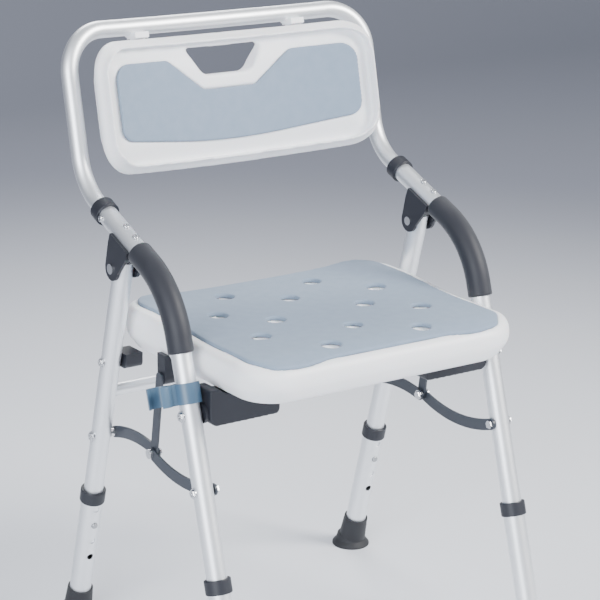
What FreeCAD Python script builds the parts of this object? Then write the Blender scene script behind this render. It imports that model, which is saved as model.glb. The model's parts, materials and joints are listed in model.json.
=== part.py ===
"""Folding aluminium shower chair with arms, backrest, telescopic legs and a hand-shower clip.

Frame: +Z up, the sitter faces -Y, +X is the right-hand side seen from the front.  Everything is drawn
about the middle of the footprint and then moved, so that the origin is the bottom centre of the whole
chair's box.  Millimetres throughout.  One STEP file per sub-part.
"""
import math
import os

import FreeCAD
import Part

V = FreeCAD.Vector
X_AXIS = V(1, 0, 0)
Z_AXIS = V(0, 0, 1)
SIDES = (("left", -1), ("right", 1))

# ---------------------------------------------------------------- driving dimensions
leg_plane_x = 228.5          # centre plane of each side frame
foot_spread_y = 210.3        # where each leg's axis meets the floor, front and back
front_lean_deg = 18.75       # lean of the front legs from the vertical
rear_lean_deg = 13.5         # lean of the rear legs from the vertical

# tubes
frame_tube_r = 12.7
frame_tube_wall = 1.5
lower_tube_r = 14.3
slide_gap = 0.3              # telescopic clearance all round
hoop_fit = 0.2               # hoop tube inside the arm tube, all round
hoop_tube_wall = 1.2
cross_tube_r = 8.0
cross_tube_wall = 1.2
cross_tube_z = 350.0

# arm and front leg, one bent tube on each side
arm_rise_deg = 20.0
arm_bend_z = 527.7           # height where the leg's axis and the arm's axis would cross
arm_bend_r = 118.0
arm_end_y = 134.6
grip_wall = 3.3
grip_on_leg = 75.4           # grip ends, measured along each run from the crossing
grip_on_arm = 80.6

# backrest hoop
hoop_lean_deg = 14.5
hoop_cross_y = 185.1         # where the arm's axis would meet the uprights' axis
hoop_foot_bend_r = 75.0
hoop_corner_r = 55.0
hoop_height = 193.0          # top run above the crossing, measured up the uprights
hoop_bow_deg = 9.0           # turn of the bowed top run at each corner
hoop_bow_r = 1100.0
hoop_insert = 52.0
hoop_collar_r = 16.2
hoop_collar_len = 17.0
hoop_collar_lip = 4.0        # part of the collar that stands past the arm tube's end
hoop_screw_back = 18.0       # locking screw in front of the arm tube's end

# telescopic legs, distances along the leg's axis from the floor
lower_leg_top = 205.0
lower_tube_bottom = 16.0
hole_pitch = 25.4
hole_count = 4
top_hole_drop = 21.8         # from the lower tube's top to its first hole
button_hole = 1              # second hole from the top holds the button
inner_tube_tail = 38.0       # inner tube below the button
collar_r = 16.6
collar_len = 18.0
collar_lip = 3.5
button_r = 4.2
button_fit = 0.25
button_stand = 2.2           # how far the button stands out of the lower tube
button_travel = 4.4

# feet
foot_top = 48.0              # along the leg's axis
foot_top_r = 17.0
foot_skirt_r = 20.5
foot_flange_r = 27.0
foot_flange_h = 4.5
foot_cone_h = 17.0
foot_hollow_r = 19.0
foot_hollow_h = 2.5

# rear leg hinge under the arm
hinge_z = 526.5
hinge_pin_r = 4.0
cheek_gap = 13.1             # half the space between the bracket's cheeks
cheek_out = 17.2             # half width over the cheeks
cheek_r = 15.0
bracket_web = 4.0
bracket_front, bracket_back = -26.0, 19.0      # along the arm from the pin's foot on the arm axis
bracket_screw_at = (-12.5, 11.5)
rear_leg_head = 10.0         # tube above the hinge pin
pin_fit = 0.05               # radial running clearance of every pivot

# folding stays
front_stay_z = 297.5         # bolt height on the front leg
rear_stay_z = 285.2          # bolt height on the rear leg
mid_stay_point = (36.2, 293.0)
stay_width = 15.0
stay_thick = 3.0
stay_gap = 0.35              # between stacked stays, and between stay and leg
front_stay_dip = 13.0
rear_stay_rise = 7.0
stay_bolt_r = 3.0
strut_width = 14.0
strut_top = (24.0, 397.0)

# seat, drawn level with the pad's top at z = 0 and then tipped and lifted into place
seat_top_z = 461.1           # pad top above the origin
seat_tilt_deg = 1.9          # rear lower than front
seat_side_gap = 11.8          # between the seat's side and the legs, where the stays fold
seat_front_y, seat_rear_y = -178.0, 158.0
seat_corner_r = 52.0
seat_depth = 53.0            # pad top to the shell's floor
seat_dish = 10.0             # the seat's sides stand this much above its middle
seat_waist = 22.0            # height of the tucked-in lower band
seat_side_inset = 13.0
seat_wall = 3.0
seat_hinge_z = 385.7
drain_r = 8.0
drain_wall = 3.0
seat_pad_half_width = 187.0
seat_pad_front_y, seat_pad_rear_y = -166.0, 150.0
seat_pad_thick = 6.0
seat_pad_sink = 4.0
pad_hole_r = 12.5
drain_centre_y = -17.0
drain_rows = ((119.5, (-68.0, 68.0)), (70.0, (0.0,)), (49.0, (-122.0, 122.0)), (0.0, (-68.0, 68.0)),
              (-49.0, (-122.0, 122.0)), (-70.0, (0.0,)), (-119.5, (-68.0, 68.0)))

# seat brackets and rests
bracket_inner_x = 112.0
bracket_drop = 14.5          # bracket below the hinge bolt's axis
bracket_depth = 34.0
pivot_washer_r = 13.0        # washer between the bracket and the front leg
pivot_washer_len = 4.3
bracket_pocket = 11.7        # depth of the sunk screw heads
seat_bolt_r = 4.0
seat_bolt_in = 34.0          # bolt inside the bracket
rest_gap = 0.4               # between the seat's floor and its rests
rest_z = 394.0               # bolt height of the rests on the rear legs
rest_length = 24.0
rest_depth = 34.0
rest_drop = 9.0              # rest below its bolt

# backrest panel
back_side_gap = 3.5          # between the panel's side and the uprights
back_bottom_s, back_top_s = 8.0, 176.5         # up the hoop's plane from its lower crossing
back_bottom_crown = 5.0
back_top_crown = 1.0
back_corner_r = 42.0
back_thick = 25.0
back_wall = 2.6
back_front_gap = 4.5         # panel face in front of the hoop's plane, at the middle
back_curve_r = 500.0
back_edge_round = 6.5
back_pad_half_width = 184.0
back_pad_bottom_s, back_pad_top_s = 49.0, 145.0
back_pad_belly = 17.0        # how far the pad's lower edge hangs in the middle
back_pad_thick = 5.0
back_pad_sink = 3.0
notch_half_bottom, notch_half_top, notch_s = 40.0, 95.0, 103.0
handle_half_bottom, handle_half_top = 31.0, 51.0
handle_bottom_s, handle_top_s = 126.0, 155.0
handle_flare = 6.0
clip_x = 120.0
clip_width = 20.0
clip_wall = 3.0
clip_back_rise = 6.5         # saddle above the top run's axis, behind it
clip_front_drop = 8.0        # saddle's front edge below that axis
clip_reach = 18.0            # tongue behind the panel, below its top edge

# hand-shower clip on the left front leg
holder_s = 434.0             # along the leg's axis
holder_height = 25.0
holder_wall = 3.6
holder_cup_r = 12.0
holder_cup_wall = 3.0
holder_reach = 35.0
holder_turn_deg = 168.0      # from +X, seen from above
holder_fit = 0.08

clip_screw_length = 17.0     # clip to panel
tube_screw_length = 9.0      # short screws into the hoop

pad_gap = 0.35               # space round a pad in its recess
close_fit = 0.1              # space round a screw or between fixed pieces
screw_r = 2.0
screw_head_r = 4.2
screw_head_h = 2.2
bolt_head_r = 7.0
bolt_head_h = 3.6

# ---------------------------------------------------------------- derived lines
front_lean = math.radians(front_lean_deg)
rear_lean = math.radians(rear_lean_deg)
rise = math.radians(arm_rise_deg)
hoop_lean = math.radians(hoop_lean_deg)
front_up = V(0, math.sin(front_lean), math.cos(front_lean))
rear_up = V(0, -math.sin(rear_lean), math.cos(rear_lean))
arm_back = V(0, math.cos(rise), math.sin(rise))
arm_under = V(0, math.sin(rise), -math.cos(rise))
hoop_up = V(0, math.sin(hoop_lean), math.cos(hoop_lean))
hoop_front = V(0, -math.cos(hoop_lean), math.sin(hoop_lean))
lower_bore_r = frame_tube_r + slide_gap
hoop_tube_r = frame_tube_r - frame_tube_wall - hoop_fit
hoop_half_width = leg_plane_x
arm_bend = (-foot_spread_y + arm_bend_z * math.tan(front_lean), arm_bend_z)
leg_inner_x = leg_plane_x - frame_tube_r
leg_outer_x = leg_plane_x + frame_tube_r
seat_half_width = leg_inner_x - seat_side_gap
back_half_width = hoop_half_width - hoop_tube_r - back_side_gap
parts = {}


def add(name, shape):
    parts[name] = shape


def group(shapes):
    return Part.makeCompound(shapes)


def on_side(side, point):
    """A side-plane point (y, z) as a 3-D point on the left or right frame."""
    return V(side * leg_plane_x, point[0], point[1])


def on_front_leg(z):
    """The side-plane point (y, z) of the front leg's axis at a height."""
    return (-foot_spread_y + z * math.tan(front_lean), z)


def on_rear_leg(z):
    """The side-plane point (y, z) of the rear leg's axis at a height."""
    return (foot_spread_y - z * math.tan(rear_lean), z)


def front_leg_point(side, distance):
    return V(side * leg_plane_x, -foot_spread_y, 0) + front_up * distance


def rear_leg_point(side, distance):
    return V(side * leg_plane_x, foot_spread_y, 0) + rear_up * distance


def cylinder(start, direction, radius, length):
    return Part.makeCylinder(radius, length, start, direction)


def through(point, direction, radius, half_length):
    """A cylinder centred on a point."""
    step = V(direction).normalize() * half_length
    return Part.makeCylinder(radius, 2 * half_length, point - step, direction)


def polygon_face(points):
    return Part.Face(Part.makePolygon(list(points) + [points[0]]))


def rounded_face(points, radii):
    """A flat face from corner points, each corner rounded by its own tangent arc."""
    return Part.Face(rounded_wire(points, radii, True))


def rounded_wire(points, radii, closed=False):
    """Straight runs joined by tangent arcs; a radius of 0 keeps the corner sharp."""
    count = len(points)
    starts, ends, edges = {}, {}, []
    corners = range(count) if closed else range(1, count - 1)
    for index in corners:
        here = points[index]
        back = (points[index - 1] - here).normalize()
        ahead = (points[(index + 1) % count] - here).normalize()
        if radii[index] == 0:
            starts[index] = ends[index] = here
            continue
        half = back.getAngle(ahead) / 2
        trim = radii[index] / math.tan(half)
        centre = here + (back + ahead).normalize() * (radii[index] / math.sin(half))
        starts[index] = here + back * trim
        ends[index] = here + ahead * trim
        middle = centre + (here - centre).normalize() * radii[index]
        edges.append((index, Part.Arc(starts[index], middle, ends[index]).toShape()))
    if not closed:
        ends[0] = points[0]
        starts[count - 1] = points[-1]
    arcs = dict(edges)
    ordered = []
    for index in range(count if closed else count - 1):
        following = (index + 1) % count
        if index in arcs:
            ordered.append(arcs[index])
        if (ends[index] - starts[following]).Length > 1e-6:
            ordered.append(Part.LineSegment(ends[index], starts[following]).toShape())
    return Part.Wire(ordered)


def arc_centre(first, middle, last):
    """Centre of the circle through three points."""
    chord, lift = last - first, middle - first
    normal = chord.cross(lift)
    scale = 2 * normal.dot(normal)
    centre = (normal.cross(chord)) * lift.dot(lift) + (lift.cross(normal)) * chord.dot(chord)
    return first + centre / scale


def sweep(wire, radius):
    """A solid round bar along a wire."""
    start = wire.Edges[0].valueAt(wire.Edges[0].FirstParameter)
    tangent = wire.Edges[0].tangentAt(wire.Edges[0].FirstParameter)
    ring = Part.Wire(Part.makeCircle(radius, start, tangent))
    return wire.makePipeShell([ring], True, False)


def bent_tube(points, radii, outer_r, wall):
    wire = rounded_wire(points, radii)
    return sweep(wire, outer_r).cut(sweep(wire, outer_r - wall))


def straight_tube(start, end, outer_r, wall):
    direction = end - start
    outer = cylinder(start, direction, outer_r, direction.Length)
    return outer.cut(cylinder(start, direction, outer_r - wall, direction.Length))


def slab(face, direction, length):
    return face.extrude(V(direction).normalize() * length)


def hex_bolt(head_at, direction, radius, length, head_r=bolt_head_r, head_h=bolt_head_h):
    """A bolt with a domed round-flanged hex head; direction runs from the head down the shank."""
    axis = V(direction).normalize()
    shank = cylinder(head_at, axis, radius, length)
    flange = cylinder(head_at, axis * -1, head_r, head_h * 0.35)
    side = V(0, 0, 1) if abs(axis.z) < 0.9 else V(0, 1, 0)
    across = axis.cross(side).normalize()
    up = across.cross(axis).normalize()
    hex_r = head_r * 0.78
    corners = []
    for step in range(6):
        angle = math.radians(60 * step)
        spoke = across * math.cos(angle) + up * math.sin(angle)
        corners.append(head_at - axis * head_h * 0.35 + spoke * hex_r)
    body = slab(polygon_face(corners), axis * -1, head_h * 0.65)
    socket = cylinder(head_at - axis * head_h, axis, hex_r * 0.45, head_h * 0.4)
    return shank.fuse([flange, body]).cut(socket).removeSplitter()


def hex_prism(base, direction, radius, height):
    """A six-sided nut blank standing on a point."""
    axis = V(direction).normalize()
    side = V(0, 0, 1) if abs(axis.z) < 0.9 else V(0, 1, 0)
    across = axis.cross(side).normalize()
    up = across.cross(axis).normalize()
    corners = []
    for step in range(6):
        angle = math.radians(60 * step)
        corners.append(base + across * radius * math.cos(angle) + up * radius * math.sin(angle))
    return slab(polygon_face(corners), axis, height)


def pan_screw(head_at, direction, length):
    """A small cross-slotted pan-head screw."""
    axis = V(direction).normalize()
    shank = cylinder(head_at, axis, screw_r, length)
    head = cylinder(head_at, axis * -1, screw_head_r, screw_head_h)
    edges = [e for e in head.Edges if e.Curve.TypeId == "Part::GeomCircle"
             and (e.CenterOfMass - (head_at - axis * screw_head_h)).Length < 0.01]
    head = head.makeFillet(screw_head_h * 0.6, edges)
    side = V(1, 0, 0) if abs(axis.x) < 0.9 else V(0, 1, 0)
    slots = []
    for across in (axis.cross(side).normalize(), axis.cross(axis.cross(side)).normalize()):
        width = axis.cross(across).normalize()
        low = head_at - axis * screw_head_h - across * screw_head_r * 0.55 - width * 0.5
        length = across * screw_head_r * 1.1
        corners = [low, low + length, low + length + width, low + width]
        slots.append(slab(polygon_face(corners), axis, screw_head_h * 0.5))
    return shank.fuse(head).cut(slots).removeSplitter()


# ---------------------------------------------------------------- side frames
def arm_axis_point(side, along):
    """A point on the arm's axis, measured back from the crossing with the leg's axis."""
    return on_side(side, arm_bend) + arm_back * along


def arm_end_along():
    return (arm_end_y - arm_bend[0]) / math.cos(rise)


def hinge_foot_along():
    """Where the square from the hinge pin meets the arm's axis."""
    y, z = on_rear_leg(hinge_z)
    return V(0, y - arm_bend[0], z - arm_bend[1]).dot(arm_back)


def button_distance():
    return lower_leg_top - top_hole_drop - button_hole * hole_pitch


def inner_tube_bottom():
    return button_distance() - inner_tube_tail


def button_out(which):
    """Outward direction of the adjusting holes: the front legs' face back, the rear legs' face forward."""
    if which == "front":
        return V(0, math.cos(front_lean), -math.sin(front_lean))
    return V(0, -math.cos(rear_lean), -math.sin(rear_lean))


def arm_leg_tube(side):
    bottom = front_leg_point(side, inner_tube_bottom())
    corner = on_side(side, arm_bend)
    end = arm_axis_point(side, arm_end_along())
    tube = bent_tube([bottom, corner, end], [0, arm_bend_r, 0], frame_tube_r, frame_tube_wall)
    reach = frame_tube_r + 2
    button = front_leg_point(side, button_distance())
    cuts = [through(on_side(side, on_front_leg(seat_hinge_z)), X_AXIS, seat_bolt_r + close_fit, reach),
            through(on_side(side, on_front_leg(front_stay_z)), X_AXIS, stay_bolt_r + close_fit, reach),
            cylinder(button, button_out("front"), button_r + button_fit, reach),
            cylinder(hoop_screw_head(side), X_AXIS * -side, screw_r + close_fit, frame_tube_r)]
    for shift in bracket_screw_at:
        top = arm_axis_point(side, hinge_foot_along() + shift)
        cuts.append(through(top, arm_under, screw_r + close_fit, reach))
    return tube.cut(cuts)


def hoop_screw_head(side):
    """The screw that locks the hoop sits on the arm's outer side, just in front of the collar."""
    return arm_axis_point(side, arm_end_along() - hoop_screw_back) + X_AXIS * side * frame_tube_r


def hinge_point(side):
    return on_side(side, on_rear_leg(hinge_z))


def rear_leg_top():
    return hinge_z / math.cos(rear_lean) + rear_leg_head


def rear_leg_tube(side):
    tube = straight_tube(rear_leg_point(side, inner_tube_bottom()), rear_leg_point(side, rear_leg_top()),
                         frame_tube_r, frame_tube_wall)
    reach = frame_tube_r + 2
    bolt_r = stay_bolt_r + close_fit
    button = rear_leg_point(side, button_distance())
    return tube.cut([through(hinge_point(side), X_AXIS, hinge_pin_r + pin_fit, reach),
                     through(on_side(side, on_rear_leg(rear_stay_z)), X_AXIS, bolt_r, reach),
                     through(on_side(side, on_rear_leg(rest_z)), X_AXIS, bolt_r, reach),
                     cylinder(button, button_out("rear"), button_r + button_fit, reach)])


def cross_tube():
    y = on_rear_leg(cross_tube_z)[0]
    tube = straight_tube(V(-leg_plane_x, y, cross_tube_z), V(leg_plane_x, y, cross_tube_z),
                         cross_tube_r, cross_tube_wall)
    legs = [cylinder(rear_leg_point(side, 0), rear_up, frame_tube_r, rear_leg_top()) for name, side in SIDES]
    return tube.cut(legs)


def foam_grip(side):
    lower = on_side(side, arm_bend) - front_up * grip_on_leg
    upper = arm_axis_point(side, grip_on_arm)
    points = [lower, on_side(side, arm_bend), upper]
    wire = rounded_wire(points, [0, arm_bend_r, 0])
    outer_r = frame_tube_r + grip_wall
    grip = sweep(wire, outer_r)
    circles = [e for e in grip.Edges if e.Curve.TypeId == "Part::GeomCircle"]
    rims = [e for e in circles if abs(e.Curve.Radius - outer_r) < 1e-6]
    ends = [e for e in rims
            if min((e.CenterOfMass - lower).Length, (e.CenterOfMass - upper).Length) < 0.01]
    grip = grip.makeFillet(1.4, ends)
    return grip.cut(sweep(wire, frame_tube_r))


def hinge_bracket(side):
    """A plastic saddle under the arm whose two cheeks carry the rear leg's pin."""
    pin = hinge_point(side) - X_AXIS * side * leg_plane_x
    foot = V(0, arm_bend[0], arm_bend[1]) + arm_back * hinge_foot_along()
    front_low = foot + arm_back * bracket_front + arm_under * (frame_tube_r * 0.75)
    corners = [foot + arm_back * bracket_front, foot + arm_back * bracket_back,
               foot + arm_back * bracket_back + arm_under * frame_tube_r]
    away = (pin - corners[2]).normalize()
    square = X_AXIS.cross(away).normalize()
    if square.dot(arm_back) < 0:
        square = square * -1
    corners.append(pin + arm_back * cheek_r)
    corners.append(pin + arm_under * cheek_r)
    corners.append(pin + (arm_under - arm_back).normalize() * cheek_r)
    corners.append(front_low)
    blank = slab(polygon_face([p - X_AXIS * cheek_out for p in corners]), X_AXIS, 2 * cheek_out)
    blank = blank.fuse(through(pin, X_AXIS, cheek_r, cheek_out)).removeSplitter()
    web = frame_tube_r + bracket_web
    slot_corners = []
    for along, down in ((bracket_front * 3, web), (bracket_back * 5, web),
                        (bracket_back * 5, web + 80), (bracket_front * 3, web + 80)):
        slot_corners.append(foot + arm_back * along + arm_under * down - X_AXIS * cheek_gap)
    slot = slab(polygon_face(slot_corners), X_AXIS, 2 * cheek_gap)
    arm = through(foot, arm_back, frame_tube_r + close_fit, 90)
    cuts = [slot, arm, through(pin, X_AXIS, hinge_pin_r + close_fit, cheek_out + 2)]
    for shift in bracket_screw_at:
        cuts.append(cylinder(foot + arm_back * shift, arm_under, screw_r + close_fit, web + 2))
    bracket = blank.cut(cuts).removeSplitter()
    return bracket.translate(X_AXIS * side * leg_plane_x)


def hinge_pin(side):
    head_at = hinge_point(side) + X_AXIS * side * (cheek_out + close_fit)
    length = 2 * cheek_out + 2 * close_fit
    pin = cylinder(head_at, X_AXIS * -side, hinge_pin_r, length + 2.0)
    head = cylinder(head_at, X_AXIS * side, hinge_pin_r + 2.6, 2.2)
    tail = cylinder(head_at - X_AXIS * side * length, X_AXIS * -side, hinge_pin_r + 2.0, 2.0)
    return pin.fuse([head, tail]).removeSplitter()


def bracket_screws(side):
    screws = []
    for shift in bracket_screw_at:
        top = arm_axis_point(side, hinge_foot_along() + shift) - arm_under * (frame_tube_r + 0.2)
        screws.append(pan_screw(top, arm_under, 2 * frame_tube_r + bracket_web))
    return screws


# ---------------------------------------------------------------- telescopic legs
def lower_leg(point, up, top, which):
    """Outer tube with its row of adjusting holes; point gives a place along the leg."""
    tube = straight_tube(point(lower_tube_bottom), point(top), lower_tube_r, lower_tube_r - lower_bore_r)
    outward = button_out(which)
    holes = []
    for index in range(hole_count):
        at = point(top - top_hole_drop - index * hole_pitch)
        holes.append(cylinder(at, outward, button_r + button_fit, lower_tube_r + 3))
    return tube.cut(holes)


def leg_collar(point, up, top):
    """Ring on the lower tube's top with a lip that closes the gap round the inner tube."""
    base = point(top - collar_len + collar_lip)
    ring = cylinder(base, up, collar_r, collar_len)
    edges = [e for e in ring.Edges if e.Curve.TypeId == "Part::GeomCircle"]
    ring = ring.makeFillet(1.2, edges)
    ring = ring.cut(cylinder(base, up, lower_tube_r + close_fit / 2, collar_len - collar_lip))
    return ring.cut(cylinder(base, up, lower_bore_r, collar_len + 1))


def rubber_foot(point, up):
    floor = point(0)
    cone = Part.makeCone(foot_skirt_r, foot_top_r, foot_top + 8, floor - up * 8, up)
    profile = [V(0, 0, 0), V(foot_flange_r, 0, 0), V(foot_flange_r, 0, foot_flange_h * 0.5),
               V(foot_flange_r - 1.5, 0, foot_flange_h), V(foot_skirt_r + 1.5, 0, foot_flange_h + 4),
               V(foot_skirt_r - 1.0, 0, foot_cone_h), V(0, 0, foot_cone_h)]
    flange = polygon_face(profile).revolve(V(0, 0, 0), Z_AXIS, 360)
    flange.translate(floor)
    below = Part.makeBox(200, 200, 60, floor + V(-100, -100, -60))
    hollow = Part.makeCone(foot_hollow_r, foot_hollow_r - 5, foot_hollow_h, floor, Z_AXIS)
    bore = cylinder(point(lower_tube_bottom), up, lower_tube_r + close_fit / 2, foot_top)
    return cone.fuse(flange).cut([below, hollow, bore]).removeSplitter()


def snap_button(point, which, distance):
    """Domed pin with an inner flange, pushed outward by the leaf spring."""
    outward = button_out(which)
    base = point(distance) + outward * (frame_tube_r - frame_tube_wall - button_travel - 1.6)
    flange = cylinder(base, outward, button_r + 1.6, 1.2)
    length = lower_tube_r + button_stand - (frame_tube_r - frame_tube_wall - button_travel - 1.6)
    pin = cylinder(base, outward, button_r, length)
    tip = [e for e in pin.Edges if e.Curve.TypeId == "Part::GeomCircle"
           and (e.CenterOfMass - (base + outward * length)).Length < 0.01]
    return pin.makeFillet(button_stand * 0.8, tip).fuse(flange).removeSplitter()


def leaf_spring(point, up, which, distance):
    """Bent strip inside the tube: one leg carries the button, the other leans on the far wall."""
    outward = button_out(which)
    inner_r = frame_tube_r - frame_tube_wall
    front = point(distance) + outward * (inner_r - button_travel - 1.6 - close_fit)
    back = point(distance) - outward * (inner_r - 2.2)
    bend = point(distance + 34) - outward * 2.0
    path = rounded_wire([front - up * 5, front + up * 6, bend + up * 12, back + up * 4, back - up * 10],
                        [0, 4, 4, 4, 0])
    start = front - up * 5
    strip = [start - X_AXIS * 3.5 - outward * 0.8, start + X_AXIS * 3.5 - outward * 0.8,
             start + X_AXIS * 3.5, start - X_AXIS * 3.5]
    profile = Part.makePolygon(strip + [strip[0]])
    return path.makePipeShell([profile], True, False)


# ---------------------------------------------------------------- backrest
def hoop_crossing():
    """Where the arm's axis meets the uprights' axis: the lower bend's corner."""
    arm = V(0, arm_bend[0], arm_bend[1])
    return arm + arm_back * ((hoop_cross_y - arm.y) / math.cos(rise))


def backrest_hoop():
    """One bent tube: arm spigot, upright, bowed top run and back down again."""
    low = hoop_crossing()
    tuck = arm_axis_point(0, arm_end_along() - hoop_insert)
    top = low + hoop_up * hoop_height
    middle = top - hoop_front * (hoop_half_width * math.tan(math.radians(hoop_bow_deg)))
    left = [V(-hoop_half_width, p.y, p.z) for p in (tuck, low, top)]
    right = [V(hoop_half_width, p.y, p.z) for p in (top, low, tuck)]
    radii = [0, hoop_foot_bend_r, hoop_corner_r, hoop_bow_r, hoop_corner_r, hoop_foot_bend_r, 0]
    tube = bent_tube(left + [middle] + right, radii, hoop_tube_r, hoop_tube_wall)
    holes = []
    for name, side in SIDES:
        holes.append(cylinder(hoop_screw_head(side), X_AXIS * -side, screw_r + close_fit, frame_tube_r))
        head_at, inward = saddle_screw_place(side)
        holes.append(cylinder(head_at, inward, screw_r + close_fit, clip_wall + hoop_tube_r))
    return tube.cut(holes)


def hoop_collar(side):
    base = arm_axis_point(side, arm_end_along() - hoop_collar_len + hoop_collar_lip)
    ring = cylinder(base, arm_back, hoop_collar_r, hoop_collar_len)
    edges = [e for e in ring.Edges if e.Curve.TypeId == "Part::GeomCircle"]
    ring = ring.makeFillet(1.3, edges)
    socket_len = hoop_collar_len - hoop_collar_lip
    ring = ring.cut(cylinder(base, arm_back, frame_tube_r + close_fit / 2, socket_len))
    return ring.cut(cylinder(base, arm_back, hoop_tube_r + close_fit / 2, hoop_collar_len + 1))


def back_to_world(shape):
    """Panel shapes are drawn upright (x across, -y to the front, z up the panel) and then leaned back."""
    low = hoop_crossing()
    shape.rotate(V(0, 0, 0), X_AXIS, -hoop_lean_deg)
    shape.translate(low)
    return shape


def upright_point(x, depth, s):
    """World place of a panel point: x across, depth behind the hoop's plane, s up the panel."""
    return hoop_crossing() + X_AXIS * x - hoop_front * depth + hoop_up * s


def curved_slab(front_depth, back_depth):
    """Part of an upright cylinder wall: concave to the front, depths measured behind the panel's face."""
    centre_y = -back_curve_r - back_front_gap
    height = back_top_s - back_bottom_s + 120
    base = V(0, centre_y, back_bottom_s - 60)
    outer = Part.makeCylinder(back_curve_r + back_depth, height, base, Z_AXIS)
    return outer.cut(Part.makeCylinder(back_curve_r + front_depth, height, base, Z_AXIS))


def upright_prism(outline, radii):
    """Extrude a panel outline (x, s) right through the panel's depth."""
    points = [V(x, -back_front_gap - 130, s) for x, s in outline]
    return slab(rounded_face(points, radii), V(0, 1, 0), 260)


def back_outline(margin):
    """Panel outline with slightly crowned top and bottom edges, shrunk by a margin."""
    half = back_half_width - margin
    low, high = back_bottom_s + margin, back_top_s - margin
    points = [(-half, low + back_bottom_crown), (0, low - back_bottom_crown),
              (half, low + back_bottom_crown), (half, high - back_top_crown),
              (0, high + back_top_crown), (-half, high - back_top_crown)]
    corner = back_corner_r - margin
    return points, [corner, 900, corner, corner, 900, corner]


def notch_outline(grow):
    """The pad's outline: hanging lower edge and a trapezoid let in round the handle."""
    half = back_pad_half_width + grow
    low, high = back_pad_bottom_s - grow, back_pad_top_s + grow
    floor = notch_s + grow
    wide, narrow = notch_half_top - grow, notch_half_bottom - grow
    points = [(-half, low), (0, low - back_pad_belly), (half, low), (half, high), (wide, high),
              (narrow, floor), (-narrow, floor), (-wide, high), (-half, high)]
    low_r, high_r, brow_r, notch_r = 17 + grow, 22 + grow, 12 + grow, 14 - grow
    return points, [low_r, 900, low_r, high_r, brow_r, notch_r, notch_r, brow_r, high_r]


def handle_cutter():
    """Trapezoid hand hole whose sides flare towards the front."""
    wires = []
    front, back = -back_front_gap - 20.0, -back_front_gap + back_thick + 20
    for y, grow in ((front, handle_flare), (back, -handle_flare * 0.4)):
        points = [V(-handle_half_bottom - grow, y, handle_bottom_s - grow),
                  V(handle_half_bottom + grow, y, handle_bottom_s - grow),
                  V(handle_half_top + grow, y, handle_top_s + grow),
                  V(-handle_half_top - grow, y, handle_top_s + grow)]
        wires.append(rounded_wire(points, [9, 9, 9, 9], True))
    return Part.makeLoft(wires, True, True)


def handle_collar():
    """Solid wall left round the hand hole inside the hollow panel."""
    low, high = handle_bottom_s - 13, handle_top_s + 30
    points = [(-handle_half_bottom - 14, low), (handle_half_bottom + 14, low),
              (handle_half_top + 14, high), (-handle_half_top - 14, high)]
    return upright_prism(points, [6, 6, 6, 6])


def back_shell():
    """Hollow blow-moulded panel with a pad recess, a hand hole and a drain hole underneath."""
    outline, radii = back_outline(0)
    panel = curved_slab(0, back_thick).common(upright_prism(outline, radii))
    rim = [e for e in panel.Edges if rim_edge(e)]
    panel = panel.makeFillet(back_edge_round, rim)
    inner, inner_radii = back_outline(back_wall + back_edge_round * 0.3)
    hollow = curved_slab(back_pad_sink + back_wall, back_thick - back_wall)
    hollow = hollow.common(upright_prism(inner, inner_radii)).cut(handle_collar())
    pad_points, pad_radii = notch_outline(pad_gap)
    recess = curved_slab(-20, back_pad_sink).common(upright_prism(pad_points, pad_radii))
    drain = cylinder(V(0, -back_front_gap + back_thick / 2, back_bottom_s - 20), Z_AXIS, 3.0, 40)
    shape = back_to_world(panel.cut([hollow, recess, handle_cutter(), drain]).removeSplitter())
    cuts = []
    for name, side in SIDES:
        head_at, inward = clip_screw_place(side)
        cuts.append(cylinder(head_at, inward, screw_r + close_fit, clip_screw_length))
    return shape.cut(cuts)


def rim_edge(edge):
    """Long edges where the panel's curved faces meet its rim."""
    centre = edge.CenterOfMass
    depth = math.hypot(centre.x, centre.y + back_curve_r + back_front_gap) - back_curve_r
    return edge.Length > 30 and not (back_edge_round < depth < back_thick - back_edge_round)


def back_pad():
    outline, radii = notch_outline(0)
    pad = curved_slab(back_pad_sink - back_pad_thick, back_pad_sink).common(upright_prism(outline, radii))
    return back_to_world(pad)


def hoop_bow_at(x):
    """Depth of the top run's axis behind the uprights' plane."""
    turn = math.radians(hoop_bow_deg)
    middle = hoop_half_width * math.tan(turn) - hoop_bow_r * (1 / math.cos(turn) - 1)
    return middle - hoop_bow_r + math.sqrt(hoop_bow_r ** 2 - x ** 2)


def panel_back_depth(x):
    """Depth of the panel's back behind the uprights' plane."""
    radius = back_curve_r + back_thick
    return -back_front_gap - back_curve_r + math.sqrt(radius * radius - x * x)


def clip_screw_place(side):
    """Head place and direction of the screw through a clip's tongue into the panel."""
    s = back_top_s - back_top_crown - clip_reach * 0.55
    return upright_point(side * clip_x, upper_clip_back(), s), hoop_front


def top_run_slope(side):
    """Turn of the bowed top run at a clip."""
    return -side * math.asin(clip_x / hoop_bow_r)


def saddle_screw_place(side):
    """Head place and direction of the screw through a clip's saddle into the top run."""
    slope = top_run_slope(side)
    inward = X_AXIS * math.sin(slope) + hoop_front * math.cos(slope)
    centre = upright_point(side * clip_x, hoop_bow_at(clip_x), hoop_height)
    return centre - inward * (hoop_tube_r + clip_wall), inward


def upper_clip_back():
    """Depth of the tongue's back face."""
    return panel_back_depth(clip_x) + 6.0


def block(x_range, depth_range, s_range):
    low = V(min(x_range), min(depth_range), min(s_range))
    size = V(max(x_range), max(depth_range), max(s_range)) - low
    return Part.makeBox(size.x, size.y, size.z, low)


def off_panel(shape):
    """Trim a clip so that it lies on the panel's curved back."""
    radius = back_curve_r + back_thick + close_fit
    centre = V(0, -back_curve_r - back_front_gap, back_bottom_s - 40)
    skin = Part.makeCylinder(radius, back_top_s - back_bottom_s + 40 + close_fit, centre, Z_AXIS)
    return shape.cut(skin)


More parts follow.
